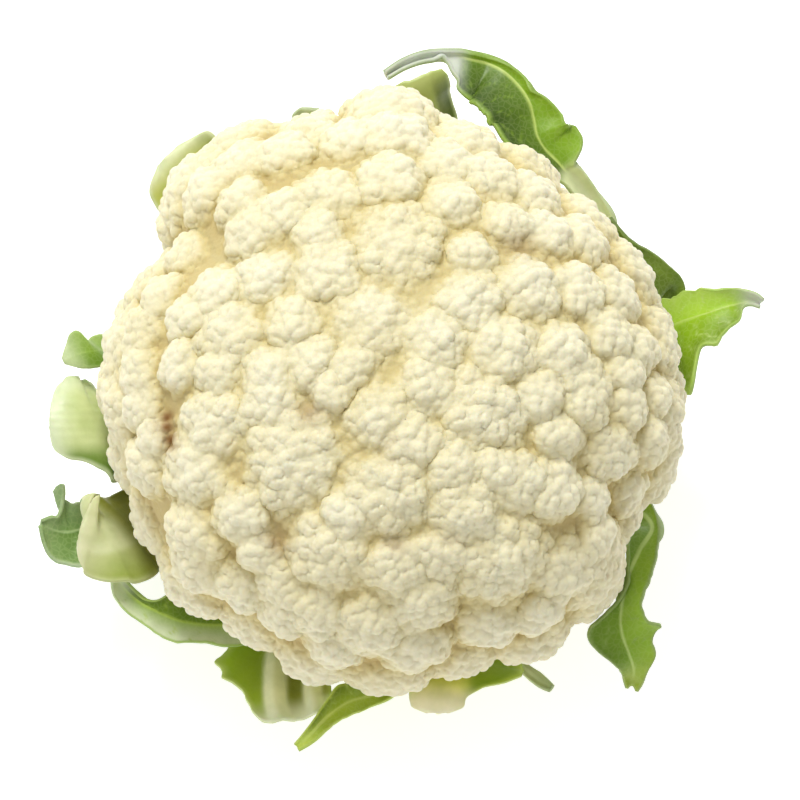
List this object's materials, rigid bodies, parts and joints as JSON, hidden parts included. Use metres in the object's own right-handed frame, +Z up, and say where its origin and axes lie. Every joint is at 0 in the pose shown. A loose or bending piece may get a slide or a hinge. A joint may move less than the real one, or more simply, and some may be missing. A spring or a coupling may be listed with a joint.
{
  "type": "cauliflower",
  "caption": "Trimmed head of cauliflower: a domed cream curd of packed florets on a cut stem, with stubs and torn blades of its green wrapper leaves round the rim.",
  "frame": {"origin": "middle of the stem's flat cut face, which the head stands on", "axes": "+Z up through the crown of the curd; -Y towards the lower edge of the picture, +X to its right"},
  "size_m": [0.2137, 0.2096, 0.1277],
  "materials": {
    "curd": "matt cream plant tissue, finely granular, warm tan in the creases",
    "stem": "pale green stalk, smooth, with a moist cream cut face",
    "rib": "smooth waxy yellow-green leaf rib, paler at its edges",
    "cream": "smooth waxy cream leaf rib",
    "green": "waxy dark green leaf blade with pale veins",
    "bright": "waxy yellow-green leaf blade with pale veins",
    "blue": "matt blue-green leaf blade with a waxy bloom",
    "pale": "pale grey-green leaf blade"
  },
  "bodies": {
    "root": {"curd": "curd", "stem": "stem", "leaf_top_rib": "rib", "leaf_top_blade": "green", "leaf_right_strip": "green", "leaf_right": "bright", "leaf_lower_right": "green", "leaf_sliver": "pale", "leaf_bottom_stub": "rib", "leaf_pointed": "bright", "leaf_rib_pair": "rib", "leaf_band": "green", "leaf_left_rib": "cream", "leaf_blue": "blue", "leaf_left_stub": "rib", "leaf_left_green": "green", "leaf_upper_left": "rib", "leaf_tiny": "green"}
  },
  "joints": []
}
